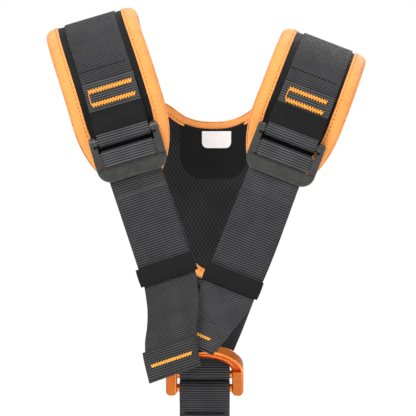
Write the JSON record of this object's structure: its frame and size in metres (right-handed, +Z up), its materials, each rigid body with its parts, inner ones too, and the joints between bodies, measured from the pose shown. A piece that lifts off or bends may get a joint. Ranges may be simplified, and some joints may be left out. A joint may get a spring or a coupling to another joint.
{
  "type": "safety harness",
  "caption": "Upper half of a work harness: padded shoulder straps and a back yoke, sliding adjusters, webbing tails, and a swinging front ring that carries the belt strap.",
  "frame": {"origin": "middle of the ring's upper bar, where the two load straps meet on the chest", "axes": "+X to the right and +Y towards the wearer's back, seen from in front of the wearer; +Z up"},
  "size_m": [0.2772, 0.2695, 0.4095],
  "materials": {
    "orange_anodised": "satin anodised orange",
    "dark_steel": "dark satin coat on steel",
    "orange_tape": "orange woven binding tape",
    "orange_thread": "orange polyester thread",
    "closed_cell_foam": "black closed-cell foam",
    "spacer_mesh": "black spacer mesh",
    "white_label": "plain woven label",
    "black_elastic": "black elastic",
    "black_cloth": "black plain-weave cloth",
    "black_webbing": "black ribbed polyester webbing"
  },
  "bodies": {
    "harness": {"back_stitching": "orange_thread", "back_strap": "black_webbing", "label": "white_label", "left_bartacks": "orange_thread", "left_buckle_loop": "black_webbing", "left_load_strap": "black_webbing", "left_loop_cover": "black_cloth", "left_pad_binding": "orange_tape", "left_pad_foam": "closed_cell_foam", "left_pad_lining": "spacer_mesh", "left_pad_shell": "black_cloth", "left_shoulder_webbing": "black_webbing", "left_tail": "black_webbing", "right_bartacks": "orange_thread", "right_buckle_loop": "black_webbing", "right_load_strap": "black_webbing", "right_loop_cover": "black_cloth", "right_pad_binding": "orange_tape", "right_pad_foam": "closed_cell_foam", "right_pad_lining": "spacer_mesh", "right_pad_shell": "black_cloth", "right_shoulder_webbing": "black_webbing", "right_tail": "black_webbing", "yoke_binding": "orange_tape", "yoke_foam": "closed_cell_foam", "yoke_lining": "spacer_mesh", "yoke_neck_panel": "black_cloth", "yoke_shell": "black_cloth"},
    "ring": {"attachment_ring": "orange_anodised"},
    "belt": {"belt_strap": "black_webbing", "belt_stitching": "orange_thread"},
    "left_buckle": {"left_buckle_plate": "dark_steel"},
    "left_lock": {"left_lock_frame": "dark_steel", "left_bar_wrap": "black_webbing"},
    "left_keeper_loop": {"left_keeper": "black_elastic"},
    "left_tail_free_end": {"left_tail_end": "black_webbing", "left_tail_stitching": "orange_thread"},
    "right_buckle": {"right_buckle_plate": "dark_steel"},
    "right_lock": {"right_lock_frame": "dark_steel", "right_bar_wrap": "black_webbing"},
    "right_keeper_loop": {"right_keeper": "black_elastic"},
    "right_tail_free_end": {"right_tail_end": "black_webbing", "right_tail_stitching": "orange_thread"}
  },
  "joints": [
    {"name": "ring_swing", "type": "hinge", "parent": "harness", "child": "ring", "pos_m": [0, 0, 0], "axis": [1, 0, 0], "range_deg": [-4, 60]},
    {"name": "belt_strap_swing", "type": "hinge", "parent": "ring", "child": "belt", "pos_m": [0, 0, -0.0113], "axis": [1, 0, 0], "range_deg": [-45, 45]},
    {"name": "left_buckle_lift", "type": "hinge", "parent": "harness", "child": "left_buckle", "pos_m": [-0.06617, -0.0046, 0.19577], "axis": [-0.9593, 0, -0.2823], "range_deg": [0, 30]},
    {"name": "left_lock_frame_tilt", "type": "hinge", "parent": "left_buckle", "child": "left_lock", "pos_m": [-0.06617, -0.0046, 0.19577], "axis": [-0.9593, 0, -0.2823], "range_deg": [0, 12]},
    {"name": "left_keeper_slide", "type": "slide", "parent": "harness", "child": "left_keeper_loop", "axis": [-0.314, 0, 0.9494], "range_m": [0, 0.05]},
    {"name": "left_tail_lift", "type": "hinge", "parent": "harness", "child": "left_tail_free_end", "pos_m": [-0.0283, -0.0019, 0.0765], "axis": [-0.9494, 0, -0.314], "range_deg": [0, 35]},
    {"name": "right_buckle_lift", "type": "hinge", "parent": "harness", "child": "right_buckle", "pos_m": [0.071, -0.0046, 0.19292], "axis": [-0.9323, 0, 0.3616], "range_deg": [0, 30]},
    {"name": "right_lock_frame_tilt", "type": "hinge", "parent": "right_buckle", "child": "right_lock", "pos_m": [0.071, -0.0046, 0.19292], "axis": [-0.9323, 0, 0.3616], "range_deg": [0, 12]},
    {"name": "right_keeper_slide", "type": "slide", "parent": "harness", "child": "right_keeper_loop", "axis": [0.3714, 0, 0.9285], "range_m": [0, 0.045]},
    {"name": "right_tail_lift", "type": "hinge", "parent": "harness", "child": "right_tail_free_end", "pos_m": [0.0194, -0.0019, 0.0674], "axis": [-0.9285, 0, 0.3714], "range_deg": [0, 35]}
  ],
  "couplings": [
    {"joint": "right_tail_lift", "follows": "left_tail_lift", "ratio": 1}
  ]
}
